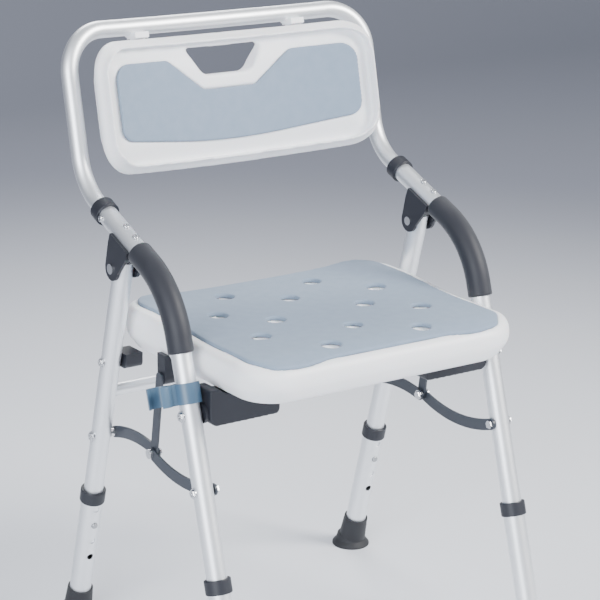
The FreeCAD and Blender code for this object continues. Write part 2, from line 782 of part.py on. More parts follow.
def upper_clip(side):
    """Plastic saddle under the top run with a tongue down the panel's back."""
    half = clip_width / 2
    x = side * clip_x
    depth = hoop_bow_at(clip_x)
    slope = top_run_slope(side)
    along = V(math.cos(slope), math.sin(slope), 0)
    middle = V(x, depth, hoop_height)
    beside = (x - clip_width, x + clip_width)
    front = block(beside, (depth - 60, depth), (hoop_height - clip_front_drop, hoop_height + 60))
    over = block(beside, (depth - 60, depth + 60), (hoop_height + clip_back_rise, hoop_height + 60))
    saddle = through(middle, along, hoop_tube_r + clip_wall, half).cut([front, over])
    ledge = back_top_s + back_top_crown + close_fit
    bridge = block((x - half, x + half), (-3.0, depth + 4), (ledge, hoop_height - clip_front_drop))
    tongue = block((x - half, x + half), (0, upper_clip_back()),
                   (back_top_s - back_top_crown - clip_reach, ledge + 1))
    body = off_panel(tongue).fuse([saddle, bridge])
    body = body.cut(through(middle, along, hoop_tube_r + close_fit, half + 4)).removeSplitter()
    panel_head, panel_inward = clip_screw_place(side)
    tube_head, tube_inward = saddle_screw_place(side)
    return back_to_world(body).cut([through(panel_head, panel_inward, screw_r + close_fit, 20),
                                    through(tube_head, tube_inward, screw_r + close_fit, clip_wall + 2)])


# ---------------------------------------------------------------- seat
def seat_to_world(shape):
    """Tip the level seat so that its rear is lower, then lift it to its height."""
    shape.rotate(V(0, 0, 0), X_AXIS, -seat_tilt_deg)
    shape.translate(V(0, 0, seat_top_z))
    return shape


def seat_local(point):
    """A side-plane point (y, z) in the level seat's frame."""
    tilt = math.radians(seat_tilt_deg)
    y, z = point[0], point[1] - seat_top_z
    return (y * math.cos(tilt) - z * math.sin(tilt), y * math.sin(tilt) + z * math.cos(tilt))


def seat_block(inset):
    """The seat's outer shape, or the hollow inside it when inset is the wall."""
    front, rear = seat_front_y + inset, seat_rear_y - inset
    top, floor = seat_dish + 2 - inset, -seat_depth + inset
    half = seat_half_width - inset
    side = [V(-half, front + 9, floor), V(-half, rear - 5, floor), V(-half, rear, top), V(-half, front, top)]
    body = slab(rounded_face(side, [16, 9, 9, 13]), X_AXIS, 2 * half)
    corner = seat_corner_r - inset
    plan = [V(-half, front, -90), V(half, front, -90), V(half, rear, -90), V(-half, rear, -90)]
    body = body.common(slab(rounded_face(plan, [corner] * 4), Z_AXIS, 200))
    low_half, waist = half - seat_side_inset, floor + seat_waist
    section = [V(-low_half, -400, floor), V(low_half, -400, floor), V(half, -400, waist),
               V(half, -400, top), V(-half, -400, top), V(-half, -400, waist)]
    return body.common(slab(rounded_face(section, [6, 6, 14, 9, 9, 14]), V(0, 1, 0), 800))


def dish_slab(above, below):
    """Space between two shallow troughs over and under the dished seat top."""
    radius = seat_pad_half_width ** 2 / (2 * seat_dish)
    bottom = seat_pad_sink - seat_pad_thick
    start = V(0, -500, bottom + radius)
    outer = Part.makeCylinder(radius + below, 1000, start, V(0, 1, 0))
    return outer.cut(Part.makeCylinder(radius - above, 1000, start, V(0, 1, 0)))


def seat_pad_outline(grow):
    """Wavy pad outline: a straight middle, dipping front corners and soft rear corners."""
    half = seat_pad_half_width + grow
    front, rear = seat_pad_front_y - grow, seat_pad_rear_y + grow
    wave = ((1.0, 26), (0.90, 1), (0.70, -5), (0.46, 2))
    points = [V(-half * share, front + step, -60) for share, step in wave]
    points += [V(half * share, front + step, -60) for share, step in reversed(wave)]
    points += [V(half, rear, -60), V(-half, rear, -60)]
    return rounded_face(points, [24, 18, 60, 60, 60, 60, 18, 24, 40, 40])


def drain_places():
    return [(x, drain_centre_y + y) for y, row in drain_rows for x in row]


def seat_pad():
    prism = slab(seat_pad_outline(0), Z_AXIS, 120)
    pad = dish_slab(seat_pad_thick - seat_pad_sink, seat_pad_sink).common(prism)
    holes = [cylinder(V(x, y, -60), Z_AXIS, pad_hole_r, 120) for x, y in drain_places()]
    return seat_to_world(pad.cut(holes))


def seat_screw_at(side, index):
    """Heads of the two screws that hold each front bracket to the seat's floor, in the seat's frame."""
    y, z = seat_local(on_front_leg(seat_hinge_z))
    return V(side * (bracket_inner_x + 14 + index * 46), y, z - bracket_drop)


def seat_shell():
    """Hollow blow-moulded seat with a pad recess and drain tubes through both walls."""
    hollow = seat_block(seat_wall)
    hollow = hollow.cut(dish_slab(60, seat_wall + seat_pad_sink))
    tubes = [cylinder(V(x, y, -90), Z_AXIS, drain_r + drain_wall, 200) for x, y in drain_places()]
    bosses = []
    screws = []
    for name, side in SIDES:
        for index in (0, 1):
            head = seat_screw_at(side, index)
            bosses.append(cylinder(V(head.x, head.y, -90), Z_AXIS, screw_r + 4, 70))
            screws.append(cylinder(head, Z_AXIS, screw_r + close_fit, 50))
        lug_y = seat_local(strut_top)[0]
        bosses.append(cylinder(V(side * lug_middle_x(), lug_y, -90), Z_AXIS, screw_r + 4, 70))
        screws.append(cylinder(V(side * lug_middle_x(), lug_y, -90), Z_AXIS, screw_r + close_fit, 52))
    hollow = hollow.cut(tubes + bosses)
    dished = seat_block(0).cut(dish_slab(60, 0))
    recess = slab(seat_pad_outline(pad_gap), Z_AXIS, 120).common(dish_slab(60, seat_pad_sink))
    drains = [cylinder(V(x, y, -90), Z_AXIS, drain_r, 200) for x, y in drain_places()]
    vent = cylinder(V(0, seat_rear_y - 40, -seat_depth - 5), Z_AXIS, 3.0, 20)
    return seat_to_world(dished.cut([hollow, recess, vent] + drains + screws).removeSplitter())


def front_bracket(side):
    """Black moulded arm under the seat that pivots on the front leg's bolt."""
    y, z = seat_local(on_front_leg(seat_hinge_z))
    outer = leg_inner_x - stay_gap
    floor = -seat_depth - close_fit
    low_half = seat_half_width - seat_side_inset
    bottom = z - bracket_drop
    top = floor + 6.0
    inner = outer - pivot_washer_len - close_fit
    points = [V(side * inner, 0, bottom), V(side * inner, 0, top), V(side * (low_half + 8), 0, top),
              V(side * (low_half - 2), 0, floor), V(side * bracket_inner_x, 0, floor),
              V(side * bracket_inner_x, 0, bottom + 10)]
    block_face = rounded_face(points, [9, 2.5, 2, 3, 2, 6])
    arm = slab(block_face, V(0, 1, 0), bracket_depth)
    arm.translate(V(0, y - bracket_depth / 2, 0))
    arm = arm.cut(seat_block(-close_fit))
    bolt = cylinder(V(side * (outer + 1), y, z), X_AXIS * -side, seat_bolt_r + pin_fit, seat_bolt_in + 1.5)
    pockets = []
    for index in (0, 1):
        head = seat_screw_at(side, index)
        pockets.append(cylinder(head - Z_AXIS, Z_AXIS, screw_head_r + 0.6, bracket_pocket + 1 + close_fit))
        pockets.append(cylinder(head, Z_AXIS, screw_r + close_fit, 60))
    return seat_to_world(arm.cut([bolt] + pockets))


def pivot_washer(side):
    """Washer on the hinge bolt that keeps the bracket clear of the leg."""
    y, z = seat_local(on_front_leg(seat_hinge_z))
    at = V(side * (leg_inner_x - stay_gap), y, z)
    ring = cylinder(at, X_AXIS * -side, pivot_washer_r, pivot_washer_len)
    return seat_to_world(ring.cut(through(at, X_AXIS, seat_bolt_r + pin_fit, 2 * pivot_washer_len)))


def seat_screws(side):
    """Bracket screws, heads sunk in the bracket's underside."""
    sunk = Z_AXIS * bracket_pocket
    screws = [pan_screw(seat_screw_at(side, index) + sunk, Z_AXIS, 34) for index in (0, 1)]
    lug_y, lug_z = seat_local(strut_top)
    screws.append(pan_screw(V(side * lug_middle_x(), lug_y, lug_z - 6.0), Z_AXIS, 30))
    return [seat_to_world(screw) for screw in screws]


def seat_hinge_bolt(side):
    head_at = on_side(side, on_front_leg(seat_hinge_z)) + X_AXIS * side * (frame_tube_r + close_fit)
    length = 2 * frame_tube_r + close_fit + stay_gap + seat_bolt_in
    return hex_bolt(head_at, X_AXIS * -side, seat_bolt_r, length)


def seat_rest(side):
    """Block inside the rear leg that the seat's side rests on."""
    y, z = on_rear_leg(rest_z)
    outer = leg_inner_x - close_fit
    front, back = y - rest_depth / 2, y + rest_depth / 2
    points = [V(side * outer, front, z - rest_drop), V(side * outer, back, z - rest_drop),
              V(side * outer, back, z + 40), V(side * outer, front, z + 40)]
    pad = slab(rounded_face(points, [7, 7, 0, 0]), X_AXIS * -side, rest_length)
    over = Part.makeBox(1000, 1000, 200, V(-500, -500, -seat_depth - rest_gap))
    seat = seat_to_world(over)
    return pad.cut([seat, through(on_side(side, (y, z)), X_AXIS, stay_bolt_r + close_fit, leg_plane_x)])


def seat_rest_bolt(side):
    y, z = on_rear_leg(rest_z)
    head_at = V(side * (leg_outer_x + close_fit), y, z)
    length = 2 * frame_tube_r + 2 * close_fit + rest_length
    bolt = hex_bolt(head_at, X_AXIS * -side, stay_bolt_r, length + 2.6, 6.0, 3.4)
    nut = cylinder(head_at - X_AXIS * side * (length + 0.05), X_AXIS * -side, 5.0, 2.6)
    return bolt.fuse(nut).removeSplitter()


# ---------------------------------------------------------------- folding stays
def stay_layer(side, layer, thick=stay_thick):
    """Outer x of a stay: layer 0 lies against the legs, layer 1 further in."""
    return side * (leg_inner_x - stay_gap - layer * (stay_thick + stay_gap))


def flat_stay(side, layer, start, end, bulge, width, hole_r):
    """A flat bar whose centre line is an arc from start to end; bulge is its rise above the chord."""
    x = stay_layer(side, layer)
    first, last = V(x, start[0], start[1]), V(x, end[0], end[1])
    chord = last - first
    up = X_AXIS.cross(chord).normalize()
    if up.z < 0:
        up = up * -1
    middle = (first + last) * 0.5 + up * bulge
    centre = arc_centre(first, middle, last)
    radius = (first - centre).Length
    outlines = []
    for grow in (-width / 2, width / 2):
        points = [centre + (p - centre).normalize() * (radius + grow) for p in (first, middle, last)]
        outlines.append(points)
    inner, outer = outlines
    caps = []
    for p, other in ((first, middle), (last, middle)):
        away = (p - other)
        radial = (p - centre).normalize()
        away = (away - radial * away.dot(radial)).normalize()
        caps.append(p + away * width / 2)
    arcs = [inner, (inner[2], caps[1], outer[2]), (outer[2], outer[1], outer[0]),
            (outer[0], caps[0], inner[0])]
    wire = Part.Wire([Part.Arc(*three).toShape() for three in arcs])
    bar = slab(Part.Face(wire), X_AXIS * -side, stay_thick)
    cuts = [through(p, X_AXIS, hole_r, 20) for p in (first, last)]
    return bar.cut(cuts)


def stay_strut(side):
    x = stay_layer(side, 1)
    low, high = V(x, mid_stay_point[0], mid_stay_point[1]), V(x, strut_top[0], strut_top[1])
    along = (high - low).normalize()
    across = X_AXIS.cross(along).normalize() * (strut_width / 2)
    corners = [low - across, high - across, high + across, low + across]
    bar = slab(polygon_face(corners), X_AXIS * -side, stay_thick)
    ends = [cylinder(p, X_AXIS * -side, strut_width / 2, stay_thick) for p in (low, high)]
    bar = bar.fuse(ends).removeSplitter()
    return bar.cut(through(low, X_AXIS, stay_bolt_r + pin_fit, 20))


def front_stay(side):
    start = on_front_leg(front_stay_z)
    return flat_stay(side, 0, start, mid_stay_point, -front_stay_dip, stay_width, stay_bolt_r + pin_fit)


def rear_stay(side):
    """Runs on layer 2 so that it passes the strut; its middle eye is a blind cap over the open pivot."""
    start = on_rear_leg(rear_stay_z)
    bar = flat_stay(side, 2, start, mid_stay_point, rear_stay_rise, stay_width, stay_bolt_r + pin_fit)
    eye = cylinder(V(stay_layer(side, 2), mid_stay_point[0], mid_stay_point[1]), X_AXIS * -side,
                   stay_bolt_r + pin_fit, stay_thick)
    return bar.fuse(eye).removeSplitter()


def mid_rivet(side):
    """Rivet that joins front stay and strut, with its head in the leg-side recess."""
    outer = leg_inner_x + 4.0
    length = outer - abs(stay_layer(side, 1)) + stay_thick
    y, z = mid_stay_point
    shank = cylinder(V(side * outer, y, z), X_AXIS * -side, stay_bolt_r, length)
    head = cylinder(V(side * (leg_inner_x + 0.2), y, z), X_AXIS * side, 6.4, 3.6)
    return shank.fuse(head).removeSplitter()


def mid_cap(side):
    """Nut cap on the inner face of the rear stay's middle eye."""
    x = stay_layer(side, 2) - side * (stay_thick + close_fit)
    at = V(x, mid_stay_point[0], mid_stay_point[1])
    washer = cylinder(at, X_AXIS * -side, 6.6, 1.2)
    return washer.fuse(hex_prism(at, X_AXIS * -side, 5.4, 3.4)).removeSplitter()


def stay_bolt(side, point, layer):
    """Bolt through a leg and a stay: flanged head outside, spacer where needed, nut inside."""
    head_at = V(side * (leg_outer_x + close_fit), point[0], point[1])
    inner = abs(stay_layer(side, layer)) - stay_thick - stay_gap
    bolt = hex_bolt(head_at, X_AXIS * -side, stay_bolt_r, leg_outer_x + close_fit - inner + 3.2, 6.6, 3.6)
    bolt = bolt.fuse(hex_prism(V(side * inner, point[0], point[1]), X_AXIS * -side, 5.6, 3.2))
    if layer:
        gap = leg_inner_x - close_fit - abs(stay_layer(side, layer)) - stay_gap
        spacer_at = V(side * (leg_inner_x - close_fit), point[0], point[1])
        bolt = bolt.fuse(cylinder(spacer_at, X_AXIS * -side, 5.4, gap))
    return bolt.removeSplitter()


def lug_outer_x():
    return abs(stay_layer(1, 1)) - stay_thick - 0.4


def lug_middle_x():
    return lug_outer_x() - 14.0


def strut_lug(side):
    """Block under the seat whose face lines up with the strut's top eye."""
    y, z = seat_local(strut_top)
    outer = side * lug_outer_x()
    floor = -seat_depth - close_fit
    points = [V(outer, y - 9, z - 9), V(outer, y + 9, z - 9),
              V(outer, y + 9, floor + 20), V(outer, y - 9, floor + 20)]
    lug = slab(rounded_face(points, [8, 8, 0, 0]), X_AXIS * -side, 26.0)
    lug = lug.cut(seat_block(-close_fit))
    screw = V(side * lug_middle_x(), y, z - 6.0)
    lug = lug.cut([cylinder(screw - Z_AXIS * 4, Z_AXIS, screw_head_r + 0.6, 4.0 + close_fit),
                   cylinder(screw - Z_AXIS, Z_AXIS, screw_r + close_fit, 60)])
    return seat_to_world(lug)


# ---------------------------------------------------------------- hand-shower clip
def holder_outward():
    angle = math.radians(holder_turn_deg)
    return V(math.cos(angle), math.sin(angle), 0)


def shower_holder():
    """Snap ring on the leg and an open cup beside it for a hand-shower's handle."""
    centre = front_leg_point(-1, holder_s)
    flat = holder_outward()
    across = front_up.cross(flat).normalize()
    out = across.cross(front_up).normalize()
    low = centre - front_up * (holder_height / 2)
    ring = cylinder(low, front_up, frame_tube_r + holder_fit + holder_wall, holder_height)
    cup_at = low + out * holder_reach
    cup = cylinder(cup_at, front_up, holder_cup_r + holder_cup_wall, holder_height)
    web_corners = []
    for a, b in ((-6, 4), (6, 4), (6, holder_reach - 4), (-6, holder_reach - 4)):
        web_corners.append(low + across * a + out * b)
    web = slab(polygon_face(web_corners), front_up, holder_height)
    body = ring.fuse([cup, web])
    body = body.cut([cylinder(low - front_up, front_up, frame_tube_r + holder_fit, holder_height + 2),
                     cylinder(cup_at - front_up, front_up, holder_cup_r, holder_height + 2)])
    mouths = []
    openings = ((cup_at, across + out, holder_cup_r * 0.72), (low, out * -1, frame_tube_r * 0.62))
    for at, direction, half in openings:
        heading = V(direction).normalize()
        side_step = front_up.cross(heading).normalize() * half
        corners = [at - side_step, at + side_step]
        corners += [at + side_step + heading * 40, at - side_step + heading * 40]
        mouths.append(slab(polygon_face(corners), front_up, holder_height))
    return body.cut(mouths).removeSplitter()


# ---------------------------------------------------------------- assembly
def build_side_frames():
    for name, side in SIDES:
        add(name + "_arm_leg_tube", arm_leg_tube(side))
        add(name + "_rear_leg_tube", rear_leg_tube(side))
        add(name + "_arm_grip", foam_grip(side))
        add(name + "_hinge_bracket", hinge_bracket(side))
        add(name + "_hoop_collar", hoop_collar(side))
    add("rear_cross_tube", cross_tube())
    add("hinge_pins", group([hinge_pin(side) for name, side in SIDES]))
    add("hinge_bracket_screws", group([s for name, side in SIDES for s in bracket_screws(side)]))


def build_lower_legs():
    top = lower_leg_top
    distance = button_distance()
    for which, up, at in (("front", front_up, front_leg_point), ("rear", rear_up, rear_leg_point)):
        springs = []
        for name, side in SIDES:
            def point(s, side=side, at=at):
                return at(side, s)
            label = which + "_" + name + "_"
            add(label + "lower_leg", lower_leg(point, up, top, which))
            add(label + "leg_collar", leg_collar(point, up, top))
            add(label + "foot", rubber_foot(point, up))
            add(label + "snap_button", snap_button(point, which, distance))
            springs.append(leaf_spring(point, up, which, distance))
        add(which + "_button_springs", group(springs))


def build_backrest():
    add("backrest_hoop", backrest_hoop())
    add("back_shell", back_shell())
    add("back_pad", back_pad())
    add("upper_back_clips", group([upper_clip(side) for name, side in SIDES]))
    tube_screws, panel_screws = [], []
    for name, side in SIDES:
        head_at = hoop_screw_head(side) + X_AXIS * side * 0.2
        tube_screws.append(pan_screw(head_at, X_AXIS * -side, tube_screw_length))
        head_at, inward = saddle_screw_place(side)
        tube_screws.append(pan_screw(head_at - inward * close_fit, inward, tube_screw_length))
        head_at, inward = clip_screw_place(side)
        panel_screws.append(pan_screw(head_at - inward * close_fit, inward, clip_screw_length))
    add("hoop_screws", group(tube_screws))
    add("back_clip_screws", group(panel_screws))


def build_seat():
    add("seat_shell", seat_shell())
    add("seat_pad", seat_pad())
    for name, side in SIDES:
        add(name + "_seat_bracket", front_bracket(side))
        add(name + "_seat_rest", seat_rest(side))
    add("seat_bracket_screws", group([s for name, side in SIDES for s in seat_screws(side)]))
    add("seat_hinge_bolts", group([seat_hinge_bolt(side) for name, side in SIDES]))
    add("seat_pivot_washers", group([pivot_washer(side) for name, side in SIDES]))
    add("seat_rest_bolts", group([seat_rest_bolt(side) for name, side in SIDES]))
    add("strut_lugs", group([strut_lug(side) for name, side in SIDES]))


def build_stays():
    for name, side in SIDES:
        add(name + "_front_stay", front_stay(side))
        add(name + "_rear_stay", rear_stay(side))
        add(name + "_stay_strut", stay_strut(side))
    add("front_stay_bolts", group([stay_bolt(side, on_front_leg(front_stay_z), 0) for name, side in SIDES]))
    add("rear_stay_bolts", group([stay_bolt(side, on_rear_leg(rear_stay_z), 2) for name, side in SIDES]))
    add("mid_stay_rivets", group([mid_rivet(side) for name, side in SIDES]))
    add("mid_stay_caps", group([mid_cap(side) for name, side in SIDES]))


build_side_frames()
build_lower_legs()
build_backrest()
build_seat()
build_stays()
add("shower_holder", shower_holder())

# the origin is the bottom centre of the whole chair, the clip's reach included
whole = group(list(parts.values())).optimalBoundingBox(False)
to_origin = V(-(whole.XMin + whole.XMax) / 2, -(whole.YMin + whole.YMax) / 2, -whole.ZMin)
print("moved by", to_origin)

os.makedirs("parts", exist_ok=True)
for node, shape in sorted(parts.items()):
    shape.translate(to_origin)
    for solid in shape.Solids:
        if not solid.isValid() or solid.Volume <= 0:
            print("check", node, "valid", solid.isValid(), "volume", round(solid.Volume, 1))
    shape.exportStep("parts/" + node + ".step")
print(len(parts), "nodes")
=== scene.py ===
# %% [markdown]
# # A folding shower chair
# This notebook dresses a measured frame of a folding bathroom chair. The frame brings every tube, bolt and
# bracket at its true size. Here we give each surface its real finish, and we model again the pieces whose
# softness the frame can't show: the blow-moulded seat and back, the foam pads and the foam arm grips.

# %% Load the frame
import json
import math

import bpy
from mathutils import Matrix, Vector


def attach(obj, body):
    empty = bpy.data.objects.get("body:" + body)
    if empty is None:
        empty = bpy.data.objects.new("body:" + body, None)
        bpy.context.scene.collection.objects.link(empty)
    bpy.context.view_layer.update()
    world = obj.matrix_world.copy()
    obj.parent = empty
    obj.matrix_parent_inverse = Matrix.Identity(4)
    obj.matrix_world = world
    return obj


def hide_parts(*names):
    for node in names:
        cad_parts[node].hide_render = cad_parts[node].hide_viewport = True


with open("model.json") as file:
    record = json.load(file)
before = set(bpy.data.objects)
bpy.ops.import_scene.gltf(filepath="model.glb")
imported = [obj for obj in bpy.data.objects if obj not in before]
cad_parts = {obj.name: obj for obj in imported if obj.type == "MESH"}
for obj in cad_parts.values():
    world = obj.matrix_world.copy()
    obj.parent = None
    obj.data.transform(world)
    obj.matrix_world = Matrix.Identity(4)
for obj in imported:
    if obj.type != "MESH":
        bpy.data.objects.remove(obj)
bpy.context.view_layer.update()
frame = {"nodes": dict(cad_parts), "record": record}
nodes = frame["nodes"]
joints = {joint["name"]: joint for joint in frame["record"]["behaviour"]["joints"]}
mm = 0.001

# %% [markdown]
# Two pieces are easiest to shape in their own level frames: the seat, which tips 1.9 degrees to the rear, and the
# back panel, which leans 14.5 degrees with the hoop. Both frames are hung on hinge points that the record states,
# so they move with the frame if it is ever rebuilt.

# %% The seat's frame and the back's frame
seat_hinge = Vector(joints["seat_lift"]["pos_m"])
leg_hinge = Vector(joints["fold"]["pos_m"])
middle_x = seat_hinge.x
seat_frame = (Matrix.Translation(Vector((middle_x, seat_hinge.y + 79.37 * mm, seat_hinge.z + 75.4 * mm)))
              @ Matrix.Rotation(math.radians(-1.9), 4, "X"))
back_frame = (Matrix.Translation(Vector((middle_x, leg_hinge.y + 101.2 * mm, leg_hinge.z + 79.9 * mm)))
              @ Matrix.Rotation(math.radians(-14.5), 4, "X"))
print("seat origin", seat_frame.translation[:], "back origin", back_frame.translation[:])


# %% [markdown]
# ## Small tools
# An operator acts on whatever is selected, so each tool starts by clearing the selection. Faces, edges and points
# are picked in code by where they are.

# %% Selecting and applying
def only(piece):
    """Make one piece the sole selected and active object."""
    if bpy.context.mode != "OBJECT":
        bpy.ops.object.mode_set(mode="OBJECT")
    bpy.ops.object.select_all(action="DESELECT")
    piece.select_set(True)
    bpy.context.view_layer.objects.active = piece


def pick(piece, kind, test):
    """Enter edit mode with only the points, edges or faces chosen whose centre passes the test."""
    only(piece)
    bpy.ops.object.mode_set(mode="EDIT")
    bpy.ops.mesh.select_mode(type=kind)
    bpy.ops.mesh.select_all(action="DESELECT")
    bpy.ops.object.mode_set(mode="OBJECT")
    mesh = piece.data
    items = {"VERT": mesh.vertices, "EDGE": mesh.edges, "FACE": mesh.polygons}[kind]
    for item in items:
        if kind == "VERT":
            item.select = test(item.co)
        else:
            corners = [mesh.vertices[index].co for index in item.vertices]
            item.select = all(test(corner) for corner in corners)
    bpy.ops.object.mode_set(mode="EDIT")


def apply_modifier(piece, kind, **settings):
    """Add one modifier, set it and apply it at once."""
    only(piece)
    modifier = piece.modifiers.new(kind.title(), kind)
    for name, value in settings.items():
        setattr(modifier, name, value)
    bpy.ops.object.modifier_apply(modifier=modifier.name)


def slice_up(piece, axis, places):
    """Cut a piece across one axis at several places, so that it can bend there."""
    for place in places:
        only(piece)
        bpy.ops.object.mode_set(mode="EDIT")
        bpy.ops.mesh.select_all(action="SELECT")
        bpy.ops.mesh.bisect(plane_co=axis * place, plane_no=axis)
    bpy.ops.object.mode_set(mode="OBJECT")


def move_points(piece, shift):
    """Hand every point to a shaping function that answers with its new place."""
    for vertex in piece.data.vertices:
        vertex.co = shift(vertex.co.copy())
    piece.data.update()


def soften(piece, voxel, rounds):
    """Fuse a piece into one even skin and relax it, which rounds its edges as a mould or a die does."""
    apply_modifier(piece, "REMESH", mode="VOXEL", voxel_size=voxel)
    apply_modifier(piece, "SMOOTH", factor=0.5, iterations=rounds)
    only(piece)
    bpy.ops.object.shade_smooth()
    print(piece.name, "has", len(piece.data.polygons), "faces")


def block(name, low, high):
    """A box between two corners, with its place in its mesh."""
    low, high = Vector(low), Vector(high)
    bpy.ops.object.select_all(action="DESELECT")
    bpy.ops.mesh.primitive_cube_add(size=1, location=(low + high) / 2)
    piece = bpy.context.object
    piece.name = name
    piece.scale = high - low
    bpy.ops.object.transform_apply(location=True, rotation=True, scale=True)
    return piece


def copy_node(node, name):
    """Copy a frame node's loose triangles and merge them into one closed mesh."""
    only(nodes[node])
    bpy.ops.object.duplicate()
    piece = bpy.context.object
    piece.name = name
    bpy.ops.object.mode_set(mode="EDIT")
    bpy.ops.mesh.select_all(action="SELECT")
    bpy.ops.mesh.remove_doubles(threshold=0.00001)
    bpy.ops.object.mode_set(mode="OBJECT")
    return piece


def cut_away(piece, cutter):
    """Take one shape out of another and throw the cutter away."""
    apply_modifier(piece, "BOOLEAN", operation="DIFFERENCE", object=cutter, solver="EXACT")
    only(cutter)
    bpy.ops.object.delete()


def rise(value, start, end):
    """A soft step from 0 to 1 between two places."""
    share = rise_line(value, start, end)
    return share * share * (3 - 2 * share)


def rise_line(value, start, end):
    """A straight step from 0 to 1 between two places."""
    return min(1.0, max(0.0, (value - start) / (end - start)))


# %% [markdown]
# ## Finishes
# Every finish starts from what the real surface is and how it was made. Patterns are scaled from real sizes: with
# object coordinates in metres, a pattern whose grains are one millimetre across has a scale of 1000.

# %% Colour and node helpers
def colour(code):
    """An sRGB hex colour as linear values."""
    values = [int(code[index:index + 2], 16) / 255 for index in (1, 3, 5)]
    linear = [value / 12.92 if value <= 0.04045 else ((value + 0.055) / 1.055) ** 2.4 for value in values]
    return (*linear, 1.0)


def put(tree, kind, values=None, links=None, **settings):
    """Add a node with its settings, its values and its links."""
    node = tree.nodes.new(kind)
    for name, value in settings.items():
        setattr(node, name, value)
    for name, value in (values or {}).items():
        node.inputs[name].default_value = value
    for name, (source, output) in (links or {}).items():
        tree.links.new(source.outputs[output], node.inputs[name])
    return node


def grain(size_mm):
    """The pattern scale whose features are this many millimetres across."""
    return 1000.0 / size_mm


def start_finish(name, **shader_values):
    """A new material holding a shader, an output and object coordinates."""
    material = bpy.data.materials.new(name)
    material.use_nodes = True
    tree = material.node_tree
    tree.nodes.clear()
    names = {key.replace("_", " ").title().replace("Ior", "IOR"): value for key, value in shader_values.items()}
    shader = put(tree, "ShaderNodeBsdfPrincipled", names)
    put(tree, "ShaderNodeOutputMaterial", links={"Surface": (shader, "BSDF")})
    place = put(tree, "ShaderNodeTexCoord")
    return material, tree, shader, place


# %% [markdown]
# ### Satin anodised aluminium
# The tubes are drawn, tumbled and anodised. That leaves a pale satin metal whose highlight is broad, with faint
# streaks along the tube from the drawing die. The legs run nearly upright, so the streaks are a noise stretched
# along Z. Real die lines are hundredths of a millimetre wide; they are drawn about 0.8 mm wide so that they show.

# %% Anodised aluminium
def anodised_aluminium(name, light, dark):
    material, tree, shader, place = start_finish(name, metallic=1.0, roughness=0.45)
    stretch = put(tree, "ShaderNodeMapping", {"Scale": (1.0, 1.0, 0.03)}, {"Vector": (place, "Object")})
    streaks = put(tree, "ShaderNodeTexNoise", {"Scale": grain(0.8), "Detail": 3.0}, {"Vector": (stretch, "Vector")})
    cloud = put(tree, "ShaderNodeTexNoise", {"Scale": grain(60), "Detail": 2.0}, {"Vector": (place, "Object")})
    tint = put(tree, "ShaderNodeMix", {"A": colour(light), "B": colour(dark)}, {"Factor": (cloud, "Fac")},
               data_type="RGBA")
    tree.links.new(tint.outputs["Result"], shader.inputs["Base Color"])
    gloss = put(tree, "ShaderNodeMapRange", {"To Min": 0.38, "To Max": 0.52}, {"Value": (streaks, "Fac")})
    tree.links.new(gloss.outputs["Result"], shader.inputs["Roughness"])
    relief = put(tree, "ShaderNodeBump", {"Strength": 0.05, "Distance": 0.05 * mm}, {"Height": (streaks, "Fac")})
    tree.links.new(relief.outputs["Normal"], shader.inputs["Normal"])
    return material


tube_finish = anodised_aluminium("anodised aluminium", "#F7F8FA", "#ECEFF2")

# %% [markdown]
# ### Blow-moulded polyethylene
# The seat and back are blown from white polyethylene. The mould is sand-blasted, so the skin has a fine grain and
# a soft, waxy sheen, and light goes a little way into it. The grain is drawn about 0.7 mm across. A slow waviness,
# a few centimetres long, stands for the sink of a hollow wall.

# %% White polyethylene
def moulded_plastic(name, light, dark, roughness, grain_mm, relief_mm, waxy):
    material, tree, shader, place = start_finish(name, roughness=roughness, ior=1.5, subsurface_weight=waxy,
                                                 subsurface_scale=0.004)
    skin = put(tree, "ShaderNodeTexNoise", {"Scale": grain(grain_mm), "Detail": 4.0}, {"Vector": (place, "Object")})
    sink = put(tree, "ShaderNodeTexNoise", {"Scale": grain(45), "Detail": 1.0}, {"Vector": (place, "Object")})
    tint = put(tree, "ShaderNodeMix", {"A": colour(light), "B": colour(dark)}, {"Factor": (sink, "Fac")},
               data_type="RGBA")
    tree.links.new(tint.outputs["Result"], shader.inputs["Base Color"])
    gloss = put(tree, "ShaderNodeMapRange", {"To Min": roughness - 0.07, "To Max": roughness + 0.09},
                {"Value": (skin, "Fac")})
    tree.links.new(gloss.outputs["Result"], shader.inputs["Roughness"])
    wave = put(tree, "ShaderNodeBump", {"Strength": 0.25, "Distance": 0.25 * mm}, {"Height": (sink, "Fac")})
    relief = put(tree, "ShaderNodeBump", {"Strength": 0.35, "Distance": relief_mm * mm},
                 {"Height": (skin, "Fac"), "Normal": (wave, "Normal")})
    tree.links.new(relief.outputs["Normal"], shader.inputs["Normal"])
    return material


shell_finish = moulded_plastic("white blow-moulded polyethylene", "#F9FAFC", "#F4F5F8",
                               0.42, 0.7, 0.06, 0.12)
black_finish = moulded_plastic("black moulded nylon", "#1B1D25", "#23252D", 0.46, 0.6, 0.05, 0.0)
clip_finish = moulded_plastic("steel-blue moulded ABS", "#4E6980", "#476177", 0.32, 1.2, 0.02, 0.0)

# %% [markdown]
# ### Closed-cell foam
# The pads are EVA foam cut from sheet. Its skin is dry and matt, with tiny cells that scatter light, so the colour
# is even but never flat. The cells are a few tenths of a millimetre wide and are drawn about 1 mm wide. The arm
# grips are a softer black foam with the same build, slightly shiny where hands have polished it.

